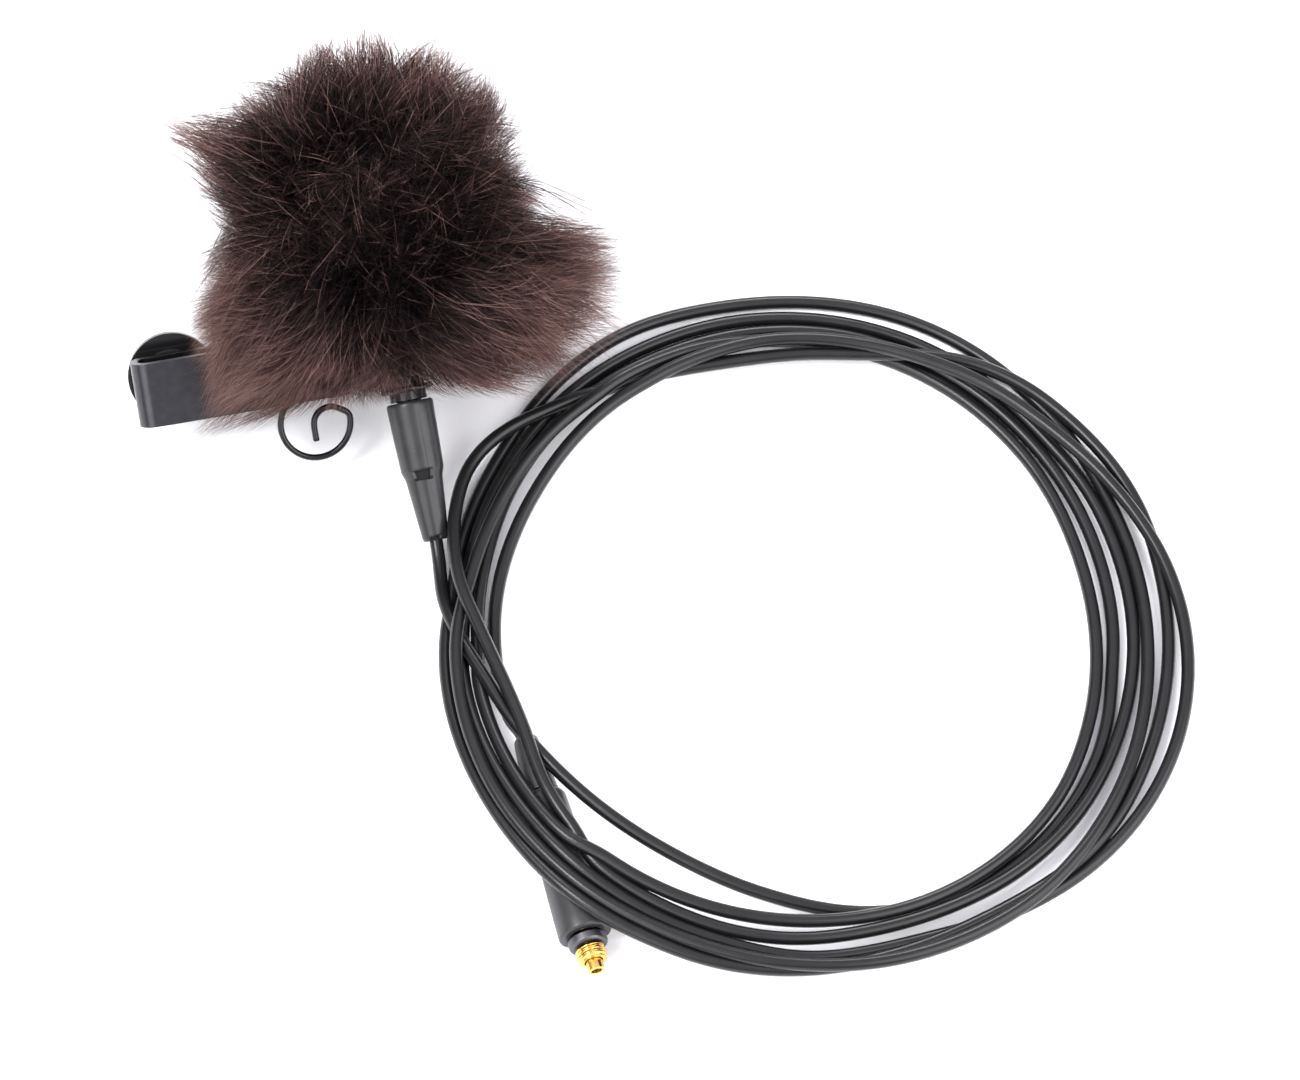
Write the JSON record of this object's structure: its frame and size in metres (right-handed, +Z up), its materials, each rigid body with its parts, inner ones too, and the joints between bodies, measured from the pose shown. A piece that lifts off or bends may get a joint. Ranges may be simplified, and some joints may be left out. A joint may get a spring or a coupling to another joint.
{
  "type": "lavalier microphone",
  "caption": "Clip-on lavalier microphone with a furry windshield, a tie clip with a bent wire holder, a strain relief boot, and a thin coiled cable with a small screw plug.",
  "frame": {"origin": "centre of the small flat on the windshield's underside, on the surface that the part lies on", "axes": "+Z up; the microphone points along +Y, 12.4 degrees to its left and 27 degrees up; the clip is on the -X side and the coiled cable on the +X side"},
  "size_m": [0.103, 0.0913, 0.0327],
  "materials": {
    "boot_rubber": "satin moulded rubber",
    "cable_jacket": "satin smooth jacket",
    "clip_metal": "satin dark grey",
    "gloss_black": "gloss black",
    "wire_black": "gloss black coated wire",
    "fur": "long pile fur, near black at the roots and red brown at the tips",
    "foam": "open cell foam",
    "elastic": "ribbed elastic",
    "gilt": "bright gold plate",
    "steel": "fine brushed",
    "circuit_board": "solder mask",
    "insulator": "moulded insulator",
    "lead_red": "thin insulation"
  },
  "bodies": {
    "microphone": {"strain_relief_boot": "boot_rubber", "rear_gland": "gloss_black", "mic_tube": "clip_metal", "preamp_board": "circuit_board", "electret_capsule": "steel", "capsule_gasket": "boot_rubber", "grille_cap": "clip_metal", "dust_mesh": "steel", "signal_lead_red": "lead_red", "signal_lead_white": "insulator", "cable_lead": "cable_jacket", "cable_coil": "cable_jacket", "cable_tail": "cable_jacket", "plug_boot": "boot_rubber", "plug_body": "boot_rubber", "crimp_sleeve": "steel", "tip_barrel": "gilt", "tip_insulator": "insulator", "centre_contact": "gilt"},
    "windshield": {"fur_cover": "fur", "foam_windscreen": "foam", "elastic_hem": "elastic"},
    "clip": {"clip_front_jaw": "clip_metal", "hinge_pin": "steel", "torsion_spring": "steel", "holder_wire": "wire_black", "wire_saddle": "clip_metal"},
    "rear_jaw": {"clip_rear_jaw": "gloss_black", "jaw_pad": "boot_rubber"},
    "plug_coupling": {"plug_collar": "gloss_black", "threaded_sleeve": "gilt"}
  },
  "joints": [
    {"name": "windshield_slide", "type": "slide", "parent": "microphone", "child": "windshield", "axis": [-0.1913, 0.8702, 0.454], "range_m": [0, 0.04]},
    {"name": "clip_swivel", "type": "hinge", "parent": "microphone", "child": "clip", "pos_m": [0.00313, -0.01446, 0.00867], "axis": [-0.1913, 0.8702, 0.454], "range_deg": [-20, 150]},
    {"name": "jaw_hinge", "type": "hinge", "parent": "clip", "child": "rear_jaw", "pos_m": [-0.0095, -0.01056, 0.00575], "axis": [0.1395, -0.7179, -0.682], "range_deg": [0, 28], "stiffness_Nm_per_rad": 0.03, "springref_deg": -45.84},
    {"name": "coupling_spin", "type": "hinge", "parent": "microphone", "child": "plug_coupling", "pos_m": [0.02039, -0.06924, 0.00255], "axis": [0.2723, -0.9622, 0], "continuous": true}
  ]
}
